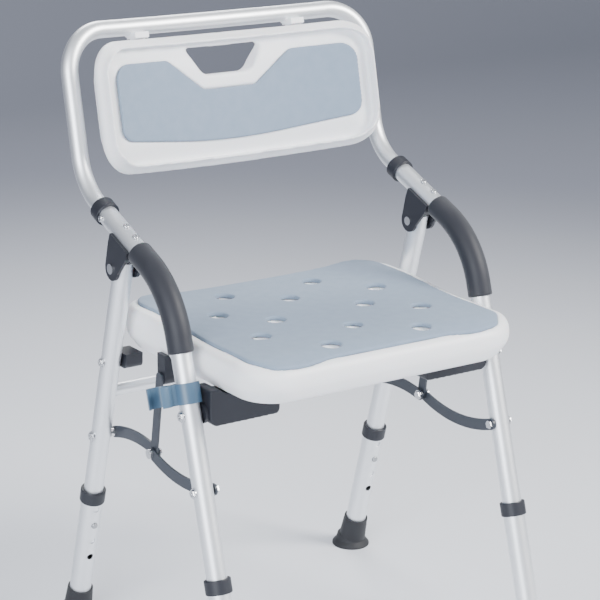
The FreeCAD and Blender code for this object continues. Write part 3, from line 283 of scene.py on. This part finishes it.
# %% Foam
def closed_cell_foam(name, light, dark, roughness, cell_mm, depth_mm, sheen):
    material, tree, shader, place = start_finish(name, roughness=roughness, ior=1.45, sheen_weight=sheen,
                                                 sheen_roughness=0.5)
    cells = put(tree, "ShaderNodeTexVoronoi", {"Scale": grain(cell_mm)}, {"Vector": (place, "Object")})
    mottle = put(tree, "ShaderNodeTexNoise", {"Scale": grain(14), "Detail": 5.0}, {"Vector": (place, "Object")})
    tint = put(tree, "ShaderNodeMix", {"A": colour(light), "B": colour(dark)}, {"Factor": (mottle, "Fac")},
               data_type="RGBA")
    tree.links.new(tint.outputs["Result"], shader.inputs["Base Color"])
    gloss = put(tree, "ShaderNodeMapRange", {"To Min": roughness - 0.08, "To Max": roughness + 0.08},
                {"Value": (mottle, "Fac")})
    tree.links.new(gloss.outputs["Result"], shader.inputs["Roughness"])
    relief = put(tree, "ShaderNodeBump", {"Strength": 0.4, "Distance": depth_mm * mm}, {"Height": (cells, "Distance")})
    tree.links.new(relief.outputs["Normal"], shader.inputs["Normal"])
    return material


pad_finish = closed_cell_foam("grey-blue EVA foam", "#8696A9", "#7B8CA0", 0.72, 1.0, 0.10, 0.15)
grip_finish = closed_cell_foam("black grip foam", "#191B23", "#21232C", 0.55, 1.1, 0.12, 0.2)
foot_finish = closed_cell_foam("black moulded rubber", "#1D1E22", "#26272B", 0.62, 1.6, 0.05, 0.05)

# %% [markdown]
# ### Coated steel, plated screws and spring steel
# The folding stays are steel strip with a slate-black powder coat, which has a fine orange-peel relief. Screws and
# bolts are zinc and chrome plated: a clean mirror with slight tumbling marks.

# %% Steel parts
def powder_coat(name, light, dark):
    material, tree, shader, place = start_finish(name, roughness=0.42, ior=1.5, coat_weight=0.15,
                                                 coat_roughness=0.3)
    peel = put(tree, "ShaderNodeTexNoise", {"Scale": grain(1.1), "Detail": 2.0}, {"Vector": (place, "Object")})
    tint = put(tree, "ShaderNodeMix", {"A": colour(light), "B": colour(dark)}, {"Factor": (peel, "Fac")},
               data_type="RGBA")
    tree.links.new(tint.outputs["Result"], shader.inputs["Base Color"])
    relief = put(tree, "ShaderNodeBump", {"Strength": 0.3, "Distance": 0.08 * mm}, {"Height": (peel, "Fac")})
    tree.links.new(relief.outputs["Normal"], shader.inputs["Normal"])
    return material


def plated_metal(name, tone, smooth, rough):
    material, tree, shader, place = start_finish(name, metallic=1.0, roughness=smooth,
                                                 base_color=colour(tone))
    marks = put(tree, "ShaderNodeTexNoise", {"Scale": grain(1.5), "Detail": 5.0}, {"Vector": (place, "Object")})
    gloss = put(tree, "ShaderNodeMapRange", {"To Min": smooth, "To Max": rough}, {"Value": (marks, "Fac")})
    tree.links.new(gloss.outputs["Result"], shader.inputs["Roughness"])
    relief = put(tree, "ShaderNodeBump", {"Strength": 0.1, "Distance": 0.03 * mm}, {"Height": (marks, "Fac")})
    tree.links.new(relief.outputs["Normal"], shader.inputs["Normal"])
    return material


stay_finish = powder_coat("slate powder-coated steel", "#31363F", "#2A2F38")
screw_finish = plated_metal("bright plated steel", "#DADBDD", 0.12, 0.30)
spring_finish = plated_metal("plain spring steel", "#A9ABAE", 0.25, 0.45)

# %% [markdown]
# The record names a material slot for every node. One loop gives each frame node the finish of its slot.

# %% Dress the frame
finishes = {"tube_aluminium": tube_finish, "shell_plastic": shell_finish, "pad_foam": pad_finish,
            "grip_foam": grip_finish, "foot_rubber": foot_finish, "black_plastic": black_finish,
            "stay_metal": stay_finish, "fastener_metal": screw_finish, "spring_steel": spring_finish,
            "clip_plastic": clip_finish}
slot_of = {entry["node"]: entry["material_slot"] for entry in frame["record"]["subparts"]}
for node, name in slot_of.items():
    for material_slot in nodes[node].material_slots:
        material_slot.material = finishes[name]


def finish_piece(piece, material, slot_name, body, *replaced):
    """Give a new piece its finish and its place in the chair."""
    piece.data.materials.clear()
    piece.data.materials.append(material)
    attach(piece, body)
    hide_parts(*replaced)


# %% [markdown]
# ## The seat shell
# The seat is one hollow moulding: a thick slab with big round corners, a tucked-in lower band, raised bolsters at
# the rear corners and a front edge that rolls down under the knees. We start from a box in the seat's level frame,
# bevel its corners, cut it into strips and raise those strips to the seat's form. The pad's recess and the drain
# holes are cut next, and a fine remesh with a few rounds of smoothing rolls every edge as the mould does.

# %% Shape shared by the seat and its pad
pad_half_width = 187 * mm
side_rise = 10 * mm


def seat_lift(x, y):
    """How far the finished seat stands above or below the frame's plain trough."""
    trough = side_rise * (x / pad_half_width) ** 2
    flatten = -trough * (1 - 0.45 * rise(y, -60 * mm, 60 * mm))
    bolster = 3 * mm * rise(abs(x), 110 * mm, 172 * mm) * rise(y, -40 * mm, 90 * mm)
    roll_off = -9 * mm * rise(-y, 120 * mm, 186 * mm) ** 2
    return flatten + bolster + roll_off


# %% Box, bevels and strips
seat_low, seat_high = -53 * mm, -3.2 * mm
seat_shell = block("moulded_seat", (-204 * mm, -177 * mm, seat_low), (204 * mm, 158 * mm, seat_high))
pick(seat_shell, "EDGE", lambda p: False)
bpy.ops.object.mode_set(mode="OBJECT")
for edge in seat_shell.data.edges:
    ends = [seat_shell.data.vertices[index].co for index in edge.vertices]
    edge.select = abs(ends[0].z - ends[1].z) > 40 * mm
bpy.ops.object.mode_set(mode="EDIT")
bpy.ops.mesh.bevel(offset=50 * mm, segments=12, profile=0.5)
bpy.ops.object.mode_set(mode="OBJECT")
slice_up(seat_shell, Vector((0, 0, 1)), [-40 * mm, -31 * mm, -12 * mm])
pick(seat_shell, "VERT", lambda p: p.z < -52 * mm)
bpy.ops.transform.resize(value=(0.925, 0.94, 1), center_override=(0, -10 * mm, 0))
pick(seat_shell, "VERT", lambda p: -41 * mm < p.z < -39 * mm)
bpy.ops.transform.resize(value=(0.972, 0.978, 1), center_override=(0, -10 * mm, 0))
pick(seat_shell, "VERT", lambda p: p.z > -4 * mm)
bpy.ops.transform.resize(value=(0.975, 0.975, 1), center_override=(0, -10 * mm, 0))
bpy.ops.object.mode_set(mode="OBJECT")
slice_up(seat_shell, Vector((1, 0, 0)), [step * 17 * mm for step in range(-11, 12)])
slice_up(seat_shell, Vector((0, 1, 0)), [step * 17 * mm for step in range(-9, 9)])


def raise_top(point):
    """Lift the top skin to the seat's form and let the lift fade out down the sides."""
    share = rise(point.z, -34 * mm, -4 * mm)
    trough = side_rise * (point.x / pad_half_width) ** 2
    point.z += share * (trough + seat_lift(point.x, point.y))
    return point


move_points(seat_shell, raise_top)
seat_shell.matrix_world = seat_frame
only(seat_shell)
bpy.ops.object.transform_apply(location=True, rotation=True, scale=True)
print("seat shell blank has", len(seat_shell.data.vertices), "points")

# %% [markdown]
# The recess is cut with a swollen copy of the pad, so that the two always fit. The drain holes are plain cylinders
# set at the pad's own hole pattern.

# %% Pad blank, recess and drain holes
inverse_seat = seat_frame.inverted()


def follow_seat(point):
    """Move a pad point by the same form as the shell below it."""
    level = inverse_seat @ point
    level.z += seat_lift(level.x, level.y)
    return seat_frame @ level


seat_pad = copy_node("seat_pad", "seat_foam_pad")
recess_cutter = copy_node("seat_pad", "recess_cutter")
apply_modifier(seat_pad, "REMESH", mode="VOXEL", voxel_size=1.6 * mm)
apply_modifier(recess_cutter, "REMESH", mode="VOXEL", voxel_size=3.0 * mm)
move_points(seat_pad, follow_seat)
move_points(recess_cutter, follow_seat)
apply_modifier(recess_cutter, "DISPLACE", strength=0.8 * mm, mid_level=0.0)

drain_centre_y = -17 * mm
drain_rows = ((119.5, (-68, 68)), (70, (0,)), (49, (-122, 122)), (0, (-68, 68)),
              (-49, (-122, 122)), (-70, (0,)), (-119.5, (-68, 68)))


def drain_pins(name, radius, low, high):
    """One cutter made of a round pin at every hole of the pad."""
    pins = []
    for row_y, row in drain_rows:
        for drain_x in row:
            bpy.ops.object.select_all(action="DESELECT")
            place = (drain_x * mm, drain_centre_y + row_y * mm, (low + high) / 2)
            bpy.ops.mesh.primitive_cylinder_add(vertices=48, radius=radius, depth=high - low, location=place)
            pins.append(bpy.context.object)
    bpy.ops.object.select_all(action="DESELECT")
    for pin in pins:
        pin.select_set(True)
    bpy.context.view_layer.objects.active = pins[0]
    bpy.ops.object.join()
    cutter = bpy.context.object
    cutter.name = name
    bpy.ops.object.transform_apply(location=True, rotation=True, scale=True)
    cutter.matrix_world = seat_frame
    bpy.ops.object.transform_apply(location=True, rotation=True, scale=True)
    return cutter


well_cutter = drain_pins("well_cutter", 13.2 * mm, -6.4 * mm, 30 * mm)
move_points(well_cutter, follow_seat)
drain_cutter = drain_pins("drain_cutter", 8.6 * mm, -100 * mm, 60 * mm)

apply_modifier(seat_shell, "REMESH", mode="VOXEL", voxel_size=2.2 * mm)
apply_modifier(seat_shell, "SMOOTH", factor=0.5, iterations=40)
cut_away(seat_shell, recess_cutter)
cut_away(seat_shell, well_cutter)
cut_away(seat_shell, drain_cutter)
soften(seat_shell, 1.8 * mm, 2)
finish_piece(seat_shell, shell_finish, "shell_plastic", "seat", "seat_shell")

# %% [markdown]
# ## The seat pad
# The pad is a sheet of foam laid in the recess. Its cut edge is slightly rounded by the die and the sheet follows
# the bolsters and the rolled front of the shell.

# %% Finish the seat pad
soften(seat_pad, 1.6 * mm, 3)
finish_piece(seat_pad, pad_finish, "pad_foam", "seat", "seat_pad")

# %% [markdown]
# ## The back shell
# The back is a second hollow moulding, bowed round the sitter's back, with a hand hole near its top. It is made the
# same way: a box is bevelled, sliced into strips and bowed, the hand hole and the pad's recess are cut, and the
# edges are relaxed.

# %% Box, bow and hand hole
back_shell = block("moulded_back", (-214 * mm, -4.5 * mm, 5 * mm), (214 * mm, 20.5 * mm, 177 * mm))
only(back_shell)
for edge in back_shell.data.edges:
    ends = [back_shell.data.vertices[index].co for index in edge.vertices]
    edge.select = abs(ends[0].y - ends[1].y) > 20 * mm
bpy.ops.object.mode_set(mode="EDIT")
bpy.ops.mesh.select_mode(type="EDGE")
bpy.ops.mesh.bevel(offset=42 * mm, segments=12, profile=0.5)
bpy.ops.object.mode_set(mode="OBJECT")
slice_up(back_shell, Vector((1, 0, 0)), [step * 12 * mm for step in range(-17, 18)])
slice_up(back_shell, Vector((0, 1, 0)), [depth * mm for depth in (-3.8, -2, 1.5, 8, 14.5, 18, 19.8)])


def bow(point):
    """Round the rim, bow the panel round the back and let its lower edge hang in the middle."""
    share = (point.y - 8 * mm) / (12.5 * mm)
    inset = 12 * mm * (1 - math.sqrt(max(0.0, 1 - share * share)))
    point.x *= 1 - inset / (214 * mm)
    point.z = 91 * mm + (point.z - 91 * mm) * (1 - inset / (86 * mm))
    middle = 1 - (point.x / (214 * mm)) ** 2
    point.z += (2 * mm - 5 * mm * middle) * rise(-point.z, -80 * mm, -10 * mm)
    radius = 500 * mm
    point.y += math.sqrt(radius ** 2 - point.x ** 2) - radius
    return point


inverse_back = back_frame.inverted()


def crown_rim(point):
    """Let the panel's front fall away softly over the last 30 mm before its outline."""
    level = inverse_back @ point
    inside = min(208 * mm - abs(level.x), level.z - 8 * mm, 174 * mm - level.z)
    close = 1 - rise_line(inside, 0, 30 * mm)
    bowed = level.y - (math.sqrt((500 * mm) ** 2 - level.x ** 2) - 500 * mm)
    front = 1 - rise_line(bowed, -4.5 * mm, 14 * mm)
    level.y += 5.5 * mm * close ** 2 * front
    return back_frame @ level


move_points(back_shell, bow)
hand_hole = block("hand_hole", (-31 * mm, -60 * mm, 126 * mm), (31 * mm, 60 * mm, 155 * mm))
pick(hand_hole, "VERT", lambda p: p.z > 150 * mm)
bpy.ops.transform.resize(value=(51 / 31, 1, 1), center_override=(0, 0, 0))
pick(hand_hole, "VERT", lambda p: p.y < 0)
bpy.ops.transform.resize(value=(1.34, 1, 1.55), center_override=(0, 0, 140.5 * mm))
bpy.ops.object.mode_set(mode="OBJECT")
pick(hand_hole, "EDGE", lambda p: False)
bpy.ops.object.mode_set(mode="OBJECT")
for edge in hand_hole.data.edges:
    ends = [hand_hole.data.vertices[index].co for index in edge.vertices]
    edge.select = abs(ends[0].y - ends[1].y) > 50 * mm
bpy.ops.object.mode_set(mode="EDIT")
bpy.ops.mesh.select_mode(type="EDGE")
bpy.ops.mesh.bevel(offset=8 * mm, segments=6, profile=0.5)
bpy.ops.object.mode_set(mode="OBJECT")
for piece in (back_shell, hand_hole):
    piece.matrix_world = back_frame
    only(piece)
    bpy.ops.object.transform_apply(location=True, rotation=True, scale=True)

# %% Cut and relax the back
back_pad = copy_node("back_pad", "back_foam_pad")
back_recess = copy_node("back_pad", "back_recess")
apply_modifier(back_recess, "REMESH", mode="VOXEL", voxel_size=2.2 * mm)
apply_modifier(back_recess, "DISPLACE", strength=1.0 * mm, mid_level=0.0)
back_ledge = copy_node("back_pad", "back_ledge")
apply_modifier(back_ledge, "REMESH", mode="VOXEL", voxel_size=2.2 * mm)
apply_modifier(back_ledge, "DISPLACE", strength=4.6 * mm, mid_level=0.0)
apply_modifier(back_ledge, "REMESH", mode="VOXEL", voxel_size=2.0 * mm)
facing = back_frame.to_3x3() @ Vector((0, -1, 0))
move_points(back_ledge, lambda point: point + facing * 5.4 * mm)
apply_modifier(back_shell, "REMESH", mode="VOXEL", voxel_size=2.2 * mm)
apply_modifier(back_shell, "SMOOTH", factor=0.5, iterations=30)
move_points(back_shell, crown_rim)
apply_modifier(back_shell, "SMOOTH", factor=0.5, iterations=12)
cut_away(back_shell, hand_hole)
apply_modifier(back_shell, "REMESH", mode="VOXEL", voxel_size=2.2 * mm)
apply_modifier(back_shell, "SMOOTH", factor=0.5, iterations=8)
cut_away(back_shell, back_ledge)
cut_away(back_shell, back_recess)
soften(back_shell, 1.5 * mm, 2)
finish_piece(back_shell, shell_finish, "shell_plastic", "frame", "back_shell")

# %% [markdown]
# ## The back pad
# The back pad is the same foam, cut with a notch that leaves the hand hole clear.

# %% Finish the back pad
soften(back_pad, 1.5 * mm, 3)
finish_piece(back_pad, pad_finish, "pad_foam", "frame", "back_pad")

# %% [markdown]
# ## Seat brackets
# The frame's brackets taper towards their inner ends. The moulded ones keep their depth, so each copy is stretched
# downwards along its length until its lower face is level.

# %% Level the brackets
bracket_top = -47 * mm
bracket_bottom = (inverse_seat @ seat_hinge).z - 14.5 * mm
bracket_taper = 10 * mm


def level_bracket(point):
    """Stretch one bracket point down from the top, by as much as the taper took away there."""
    level = inverse_seat @ point
    along = rise_line(211 * mm - abs(level.x), 0, 99 * mm)
    floor = bracket_bottom + bracket_taper * along
    level.z = bracket_top - (bracket_top - level.z) * (bracket_top - bracket_bottom) / (bracket_top - floor)
    return seat_frame @ level


for side in ("left", "right"):
    bracket = copy_node(side + "_seat_bracket", side + "_moulded_bracket")
    apply_modifier(bracket, "REMESH", mode="VOXEL", voxel_size=1.0 * mm)
    move_points(bracket, level_bracket)
    apply_modifier(bracket, "SMOOTH", factor=0.5, iterations=3)
    only(bracket)
    bpy.ops.object.shade_smooth_by_angle(angle=math.radians(40))
    finish_piece(bracket, black_finish, "black_plastic", "seat", side + "_seat_bracket")

# %% [markdown]
# ## Arm grips
# Each grip is a foam sleeve pushed over the bend of the arm. The frame's sleeve has crisp ends, so a copy is
# remeshed finely and relaxed until its ends roll over as cut foam does.

# %% Grips
for side in ("left", "right"):
    grip = copy_node(side + "_arm_grip", side + "_foam_grip")
    soften(grip, 1.1 * mm, 5)
    finish_piece(grip, grip_finish, "grip_foam", "frame", side + "_arm_grip")

# %% [markdown]
# ## Floor, light and camera
# The chair stands on a pale floor that curves up into a backdrop. The floor's colour is painted from pale near the
# chair to mid grey further out, as painted shade that stands in for the light's falloff. A large soft light from the
# front right is the key, a weaker one from the left fills the shadows, and a strip behind picks out the tubes.

# %% Floor and backdrop
bpy.ops.object.select_all(action="DESELECT")
bpy.ops.mesh.primitive_plane_add(size=1, location=(0, 0, 0))
floor = bpy.context.object
floor.name = "pale_floor"
floor.scale = (14, 9, 1)
bpy.ops.object.transform_apply(location=True, rotation=True, scale=True)
pick(floor, "EDGE", lambda p: p.y > 4.4)
bpy.ops.mesh.extrude_region_move(TRANSFORM_OT_translate={"value": (0, 0, 6)})
pick(floor, "EDGE", lambda p: p.y > 4.4 and abs(p.z) < 0.01)
bpy.ops.mesh.bevel(offset=1.5, segments=16, profile=0.5)
bpy.ops.object.mode_set(mode="OBJECT")
only(floor)
bpy.ops.object.shade_smooth()
floor_finish, floor_tree, floor_shader, floor_place = start_finish("pale floor", roughness=0.55)
# Painted shade: the floor's colour darkens from pale near the chair to mid grey by 2.6 m out, standing in for the
# light's falloff.
apart = put(floor_tree, "ShaderNodeVectorMath", links={0: (floor_place, "Object")}, operation="LENGTH")
share = put(floor_tree, "ShaderNodeMapRange", {"From Min": 0.5, "From Max": 2.6}, {"Value": (apart, "Value")},
            interpolation_type="SMOOTHSTEP")
tint = put(floor_tree, "ShaderNodeMix", {"A": colour("#DDE0E6"), "B": colour("#7E818C")},
           {"Factor": (share, "Result")}, data_type="RGBA")
floor_tree.links.new(tint.outputs["Result"], floor_shader.inputs["Base Color"])
floor.data.materials.append(floor_finish)


# %% Lights
def soft_light(name, place, target, width, height, power, tone):
    """A rectangular light that faces a point."""
    bpy.ops.object.select_all(action="DESELECT")
    bpy.ops.object.light_add(type="AREA", location=place)
    lamp = bpy.context.object
    lamp.name = name
    lamp.data.shape = "RECTANGLE"
    lamp.data.size, lamp.data.size_y = width, height
    lamp.data.energy = power
    lamp.data.color = colour(tone)[:3]
    lamp.rotation_euler = (Vector(target) - Vector(place)).to_track_quat("-Z", "Y").to_euler()
    return lamp


centre = (0, 0, 0.45)
soft_light("key", (2.0, -2.2, 2.6), centre, 1.5, 1.5, 215, "#FFFDFA")
soft_light("fill", (-2.6, -1.6, 1.4), centre, 1.8, 1.8, 120, "#F4F8FF")
soft_light("rim", (0.8, 2.2, 2.4), centre, 1.4, 0.8, 45, "#FFFFFF")
world = bpy.data.worlds.new("studio")
bpy.context.scene.world = world
world.use_nodes = True
world.node_tree.nodes["Background"].inputs["Color"].default_value = colour("#D7DBE1")
world.node_tree.nodes["Background"].inputs["Strength"].default_value = 1.15

# %% Camera
bpy.ops.object.camera_add()
camera = bpy.context.object
right = Vector((0.8269, -0.5617, 0.0275)).normalized()
ahead = Vector((0.5419, 0.7829, -0.3058)).normalized()
above = right.cross(ahead).normalized()
camera.matrix_world = Matrix.Translation(Vector((-1.4312, -2.0687, 1.2769))) @ Matrix(
    (right, above, -ahead)).transposed().to_4x4()
camera.data.sensor_width = 36
camera.data.lens = 2077 / 600 * 36
bpy.context.scene.camera = camera
